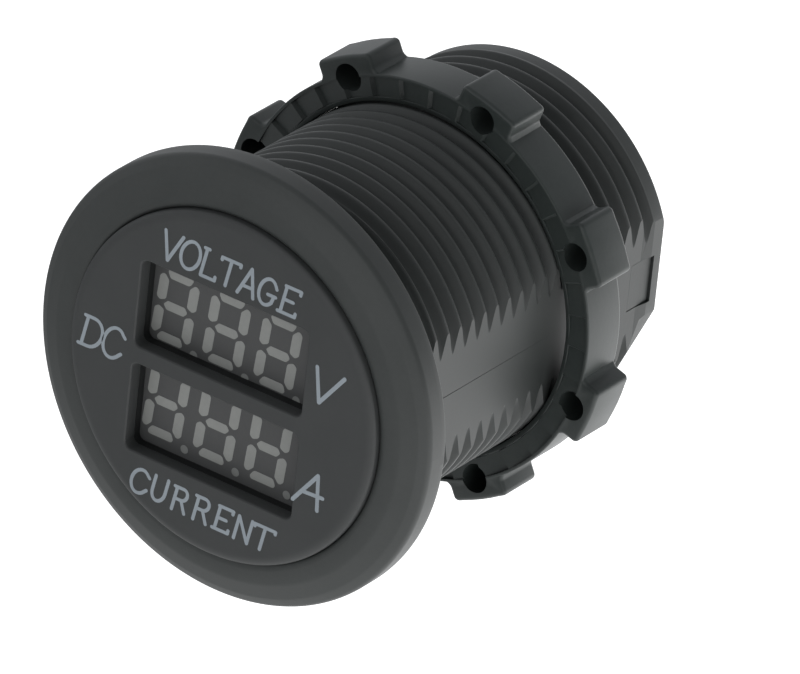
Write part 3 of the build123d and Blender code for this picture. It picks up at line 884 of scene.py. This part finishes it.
# ---- floor, light and camera ----
FLOOR_Z = -0.3
bm = bmesh.new()
bmesh.ops.create_grid(bm, x_segments=8, y_segments=8, size=6.0)
floor_mesh = bpy.data.meshes.new("floor")
bm.to_mesh(floor_mesh)
bm.free()
floor = bpy.data.objects.new("floor", floor_mesh)
floor.location = (0, 0, FLOOR_Z)
bpy.context.scene.collection.objects.link(floor)
# painted light: the floor paper glows as a stand-in lamp that lights the meter from below; its emission is
# none towards -X and -Y and rises to strength 2.5 towards +X and +Y
GLOWING_PAPER = plastic(
    "floor_paper_glowing", (0.56, 0.56, 0.56), (0.6, 0.6, 0.6), rough=(0.9, 1.0), bump=0.0, specular=0.1
)
GLOWING_PAPER.node_tree.nodes["Principled BSDF"].inputs["Emission Color"].default_value = (1, 1, 1, 1)
paper_nodes, paper_links = GLOWING_PAPER.node_tree.nodes, GLOWING_PAPER.node_tree.links
spot = paper_nodes.new("ShaderNodeTexCoord")
tilt = paper_nodes.new("ShaderNodeVectorMath")
tilt.operation = "DOT_PRODUCT"
tilt.inputs[1].default_value = (1.3, 0.6, 0)
glow = paper_nodes.new("ShaderNodeMapRange")
glow.inputs["From Min"].default_value = -0.66
glow.inputs["From Max"].default_value = 0.75
glow.inputs["To Min"].default_value = 0.0
glow.inputs["To Max"].default_value = 2.5
paper_links.new(spot.outputs["Object"], tilt.inputs[0])
paper_links.new(tilt.outputs["Value"], glow.inputs["Value"])
paper_links.new(glow.outputs["Result"], paper_nodes["Principled BSDF"].inputs["Emission Strength"])
floor_mesh.materials.append(GLOWING_PAPER)


def area_light(name, place, target, size, power):
    data = bpy.data.lights.new(name, "AREA")
    data.shape = "RECTANGLE"
    data.size, data.size_y = size
    data.energy = power
    obj = bpy.data.objects.new(name, data)
    bpy.context.scene.collection.objects.link(obj)
    obj.location = place
    direction = Vector(target) - Vector(place)
    obj.rotation_euler = direction.to_track_quat("-Z", "Y").to_euler()
    return obj


area_light("front_soft", (0.1, -1.8, 0.5), (0, 0, 0), (1.4, 1.4), 8)

world = bpy.data.worlds.new("studio")
world.use_nodes = True
world.node_tree.nodes["Background"].inputs["Color"].default_value = (0.95, 0.97, 1.0, 1)
sky = world.node_tree
facing = sky.nodes.new("ShaderNodeTexCoord")
side_on = sky.nodes.new("ShaderNodeVectorMath")
side_on.operation = "DOT_PRODUCT"
side_on.inputs[1].default_value = (-0.41, 0.19, -0.25)
level = sky.nodes.new("ShaderNodeMath")
level.operation = "ADD"
level.inputs[1].default_value = 0.82
sky.links.new(facing.outputs["Generated"], side_on.inputs[0])
sky.links.new(side_on.outputs["Value"], level.inputs[0])
sky.links.new(level.outputs[0], sky.nodes["Background"].inputs["Strength"])
bpy.context.scene.world = world
bpy.context.scene.view_settings.view_transform = "Standard"

# the camera's place, angles and lens were fitted so that the render lines up with the reference picture
CAMERA_MM = (558.86, -829.15, 556.94)
CAMERA_HEADING = -33.3413
CAMERA_DIP = 28.9233
CAMERA_ROLL = 6.0579
CAMERA_LENS = 670.47
camera_data = bpy.data.cameras.new("camera")
camera_data.sensor_width = 36.0
camera_data.lens = CAMERA_LENS
camera_data.clip_start = 0.05
camera_data.clip_end = 50.0
camera = bpy.data.objects.new("camera", camera_data)
bpy.context.scene.collection.objects.link(camera)
turn = Matrix.Rotation(math.radians(-CAMERA_HEADING), 4, "Z")
turn @= Matrix.Rotation(math.radians(90 - CAMERA_DIP), 4, "X")
turn @= Matrix.Rotation(math.radians(CAMERA_ROLL), 4, "Z")
camera.matrix_world = Matrix.Translation(Vector(CAMERA_MM) * MM) @ turn
bpy.context.scene.camera = camera
